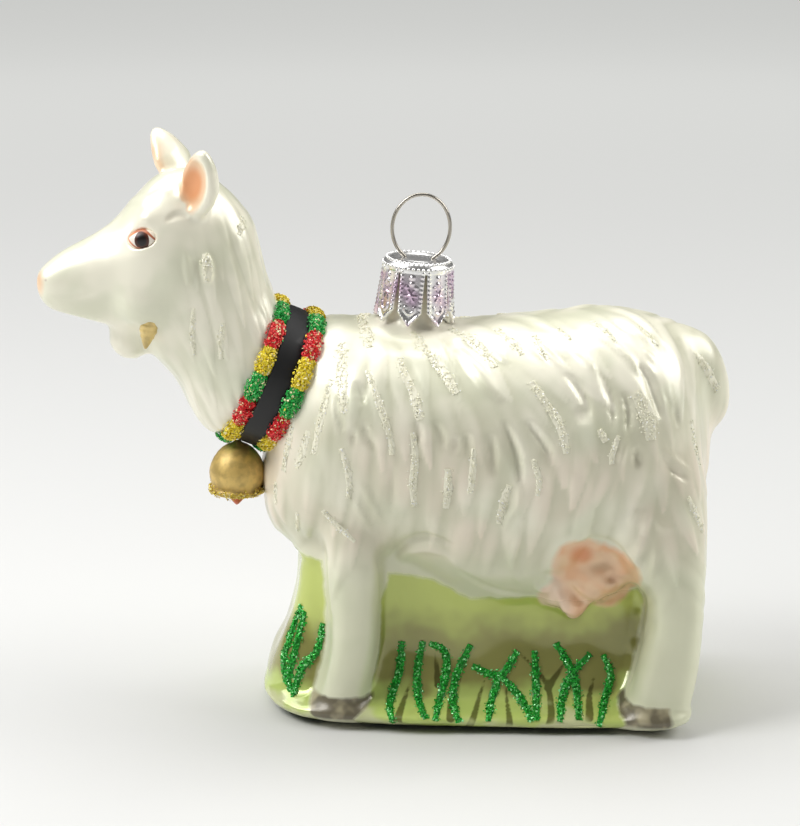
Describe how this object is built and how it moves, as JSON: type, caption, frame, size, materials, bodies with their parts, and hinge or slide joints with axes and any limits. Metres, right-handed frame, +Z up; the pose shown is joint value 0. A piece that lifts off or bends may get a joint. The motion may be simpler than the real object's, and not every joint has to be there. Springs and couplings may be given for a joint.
{
  "type": "blown glass goat christmas ornament",
  "caption": "Blown-glass tree ornament of a standing white nanny goat with a glitter-edged collar, bell and udder, on a green grass bank, with a crown cap and wire loop.",
  "frame": {"origin": "bottom centre of the bounding box, on the surface the ornament stands on", "axes": "the goat faces -X, its left side is -Y, +Z is up"},
  "size_m": [0.1134, 0.0432, 0.0958],
  "materials": {
    "pearl_white": "opaque pearl-white lacquer under a clear gloss, on silvered glass",
    "green_glass": "transparent lime-green lacquer over silvered glass, glossy, with green glitter strokes",
    "peach_lacquer": "peach-pink lacquer on glass, glossy",
    "hoof_lacquer": "brown-grey lacquer on glass, glossy",
    "gold_lacquer": "gold metallic lacquer on glass, satin, the bell's rim in gold glitter",
    "copper_lacquer": "copper metallic lacquer on glass, satin",
    "black_ribbon": "black lacquer, satin",
    "glitter": "coarse glitter flakes in green, red and yellow lengths, bound in clear glue",
    "eye_lacquer": "dark-brown pupil on white, outlined in brown, glossy",
    "silver_cap": "bright silver, thin pressed sheet",
    "spring_wire": "bright spring wire"
  },
  "bodies": {
    "root": {"beard": "pearl_white", "bell": "gold_lacquer", "bell_clapper": "copper_lacquer", "cap": "silver_cap", "collar_band": "black_ribbon", "collar_trim_lower": "glitter", "collar_trim_upper": "glitter", "ear_left": "pearl_white", "ear_right": "pearl_white", "eye_left": "eye_lacquer", "eye_right": "eye_lacquer", "forehoof_left": "hoof_lacquer", "forehoof_right": "hoof_lacquer", "foreleg_left": "pearl_white", "foreleg_right": "pearl_white", "grass_bank": "green_glass", "hanging_loop": "spring_wire", "head": "pearl_white", "hindhoof_left": "hoof_lacquer", "hindhoof_right": "hoof_lacquer", "hindleg_left": "pearl_white", "hindleg_right": "pearl_white", "neck": "pearl_white", "tail": "pearl_white", "trunk": "pearl_white", "udder": "peach_lacquer", "wattle_left": "gold_lacquer", "wattle_right": "gold_lacquer"}
  },
  "joints": []
}
